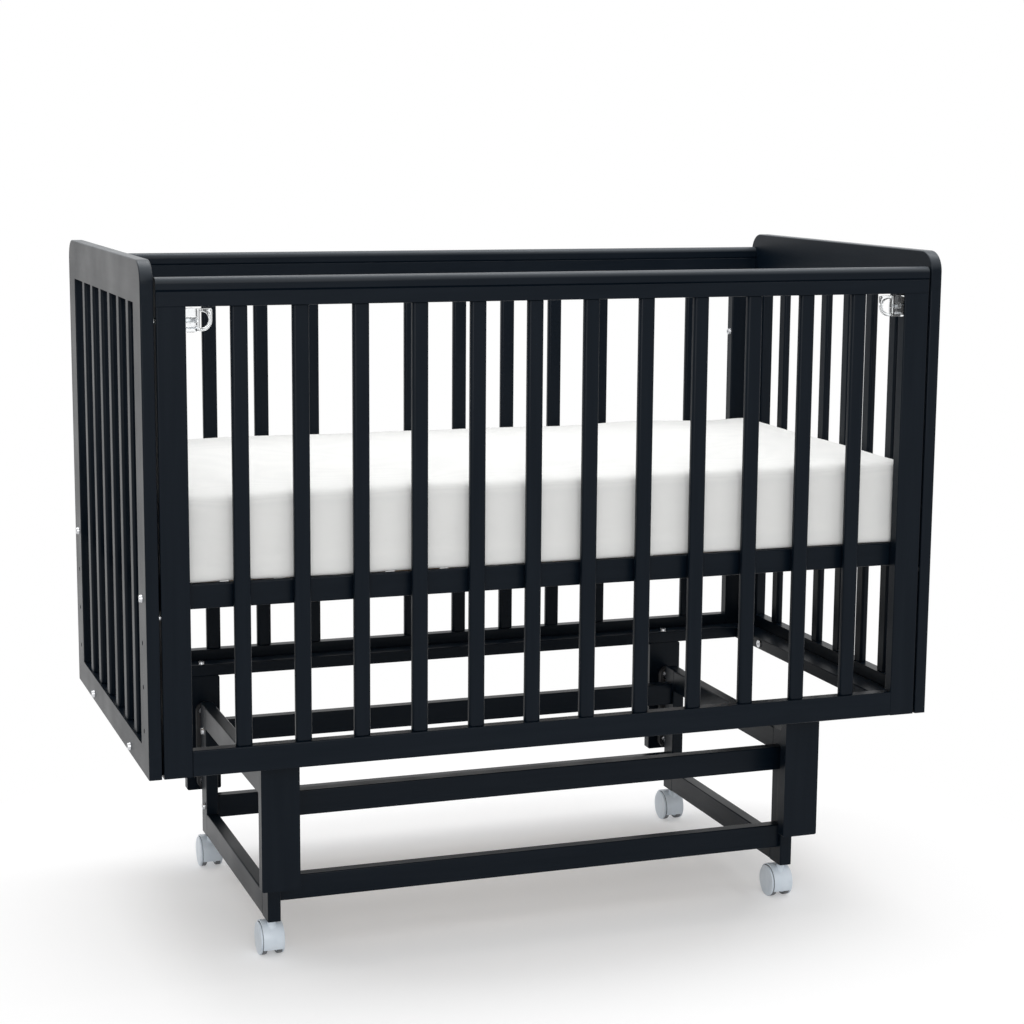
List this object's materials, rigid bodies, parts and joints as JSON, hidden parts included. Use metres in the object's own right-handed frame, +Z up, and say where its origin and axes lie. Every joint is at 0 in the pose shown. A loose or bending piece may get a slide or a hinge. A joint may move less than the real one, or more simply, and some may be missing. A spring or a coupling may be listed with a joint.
{
  "type": "crib",
  "caption": "Slatted painted wood crib with a drop side and mattress, hung on links in a low frame on twin-wheel casters, so that it swings lengthwise.",
  "frame": {"origin": "on the floor under the middle of the crib", "axes": "+X along the crib, +Y towards the fixed back panel with the drop side at -Y, +Z up"},
  "size_m": [1.2502, 0.64, 1.051],
  "materials": {
    "painted_wood": "satin dark paint",
    "plain_wood": "planed, unpainted",
    "mattress_fabric": "quilted white cloth",
    "zinc_steel": "zinc plated",
    "link_paint": "black powder coat",
    "white_plastic": "smooth white",
    "socket_plastic": "moulded grey",
    "clear_plastic": "clear moulded"
  },
  "bodies": {
    "floor_frame": {"legs": "painted_wood", "side_bars": "painted_wood", "long_beams": "painted_wood", "frame_bolts": "zinc_steel", "caster_sockets": "socket_plastic", "upper_pivot_pins": "zinc_steel"},
    "front_left_swivel": {"front_left_caster_hood": "white_plastic", "front_left_caster_pins": "zinc_steel"},
    "front_left_wheels": {"front_left_caster_wheels": "white_plastic"},
    "front_left_link_body": {"front_left_link": "link_paint", "front_left_link_bearings": "zinc_steel"},
    "front_right_swivel": {"front_right_caster_hood": "white_plastic", "front_right_caster_pins": "zinc_steel"},
    "front_right_wheels": {"front_right_caster_wheels": "white_plastic"},
    "front_right_link_body": {"front_right_link": "link_paint", "front_right_link_bearings": "zinc_steel"},
    "back_left_swivel": {"back_left_caster_hood": "white_plastic", "back_left_caster_pins": "zinc_steel"},
    "back_left_wheels": {"back_left_caster_wheels": "white_plastic"},
    "back_left_link_body": {"back_left_link": "link_paint", "back_left_link_bearings": "zinc_steel"},
    "back_right_swivel": {"back_right_caster_hood": "white_plastic", "back_right_caster_pins": "zinc_steel"},
    "back_right_wheels": {"back_right_caster_wheels": "white_plastic"},
    "back_right_link_body": {"back_right_link": "link_paint", "back_right_link_bearings": "zinc_steel"},
    "drop_side": {"drop_side_bottom_rail": "painted_wood", "drop_side_cap_rail": "painted_wood", "drop_side_pins": "zinc_steel", "drop_side_slats": "painted_wood", "drop_side_stiles": "painted_wood", "drop_side_top_rail": "painted_wood", "latch_blocks": "clear_plastic"},
    "left_latch": {"left_latch_bolt": "clear_plastic"},
    "right_latch": {"right_latch_bolt": "clear_plastic"},
    "crib_body": {"arm_bolts": "zinc_steel", "arms": "painted_wood", "back_bottom_rail": "painted_wood", "back_cap_rail": "painted_wood", "back_slats": "painted_wood", "back_stiles": "painted_wood", "back_top_rail": "painted_wood", "barrel_nuts": "zinc_steel", "bed_battens": "plain_wood", "bed_bolts": "zinc_steel", "bed_end_rails": "painted_wood", "bed_side_rails": "painted_wood", "body_bolts": "zinc_steel", "end_bearers": "painted_wood", "left_end_bottom_rail": "painted_wood", "left_end_slats": "painted_wood", "left_end_stiles": "painted_wood", "left_end_top_board": "painted_wood", "long_bearers": "painted_wood", "lower_pivot_pins": "zinc_steel", "mattress": "mattress_fabric", "right_end_bottom_rail": "painted_wood", "right_end_slats": "painted_wood", "right_end_stiles": "painted_wood", "right_end_top_board": "painted_wood"}
  },
  "joints": [
    {"name": "front_left_link_pivot", "type": "hinge", "parent": "floor_frame", "child": "front_left_link_body", "pos_m": [-0.4235, -0.252, 0.263], "axis": [0, 1, 0], "range_deg": [-18, 18]},
    {"name": "crib_swing", "type": "hinge", "parent": "front_left_link_body", "child": "crib_body", "pos_m": [-0.4235, -0.252, 0.143], "axis": [0, 1, 0], "range_deg": [-18, 18]},
    {"name": "front_right_link_pivot", "type": "hinge", "parent": "floor_frame", "child": "front_right_link_body", "pos_m": [0.4235, -0.252, 0.263], "axis": [0, 1, 0], "range_deg": [-18, 18]},
    {"name": "back_left_link_pivot", "type": "hinge", "parent": "floor_frame", "child": "back_left_link_body", "pos_m": [-0.4235, 0.252, 0.263], "axis": [0, 1, 0], "range_deg": [-18, 18]},
    {"name": "back_right_link_pivot", "type": "hinge", "parent": "floor_frame", "child": "back_right_link_body", "pos_m": [0.4235, 0.252, 0.263], "axis": [0, 1, 0], "range_deg": [-18, 18]},
    {"name": "drop_side_slide", "type": "slide", "parent": "crib_body", "child": "drop_side", "axis": [0, 0, -1], "range_m": [0, 0.17]},
    {"name": "left_latch_slide", "type": "slide", "parent": "drop_side", "child": "left_latch", "axis": [1, 0, 0], "range_m": [0, 0.01], "stiffness_N_per_m": 400},
    {"name": "right_latch_slide", "type": "slide", "parent": "drop_side", "child": "right_latch", "axis": [-1, 0, 0], "range_m": [0, 0.01], "stiffness_N_per_m": 400},
    {"name": "front_left_caster_swivel", "type": "hinge", "parent": "floor_frame", "child": "front_left_swivel", "pos_m": [-0.4235, -0.219, 0.06], "axis": [0, 0, 1], "continuous": true},
    {"name": "front_left_caster_roll", "type": "hinge", "parent": "front_left_swivel", "child": "front_left_wheels", "pos_m": [-0.4235, -0.205, 0.025], "axis": [1, 0, 0], "continuous": true},
    {"name": "front_right_caster_swivel", "type": "hinge", "parent": "floor_frame", "child": "front_right_swivel", "pos_m": [0.4235, -0.219, 0.06], "axis": [0, 0, 1], "continuous": true},
    {"name": "front_right_caster_roll", "type": "hinge", "parent": "front_right_swivel", "child": "front_right_wheels", "pos_m": [0.4235, -0.205, 0.025], "axis": [1, 0, 0], "continuous": true},
    {"name": "back_left_caster_swivel", "type": "hinge", "parent": "floor_frame", "child": "back_left_swivel", "pos_m": [-0.4235, 0.219, 0.06], "axis": [0, 0, 1], "continuous": true},
    {"name": "back_left_caster_roll", "type": "hinge", "parent": "back_left_swivel", "child": "back_left_wheels", "pos_m": [-0.4235, 0.233, 0.025], "axis": [1, 0, 0], "continuous": true},
    {"name": "back_right_caster_swivel", "type": "hinge", "parent": "floor_frame", "child": "back_right_swivel", "pos_m": [0.4235, 0.219, 0.06], "axis": [0, 0, 1], "continuous": true},
    {"name": "back_right_caster_roll", "type": "hinge", "parent": "back_right_swivel", "child": "back_right_wheels", "pos_m": [0.4235, 0.233, 0.025], "axis": [1, 0, 0], "continuous": true}
  ],
  "couplings": [
    {"joint": "front_left_link_pivot", "follows": "crib_swing", "ratio": -1},
    {"joint": "front_right_link_pivot", "follows": "crib_swing", "ratio": -1},
    {"joint": "back_left_link_pivot", "follows": "crib_swing", "ratio": -1},
    {"joint": "back_right_link_pivot", "follows": "crib_swing", "ratio": -1}
  ]
}
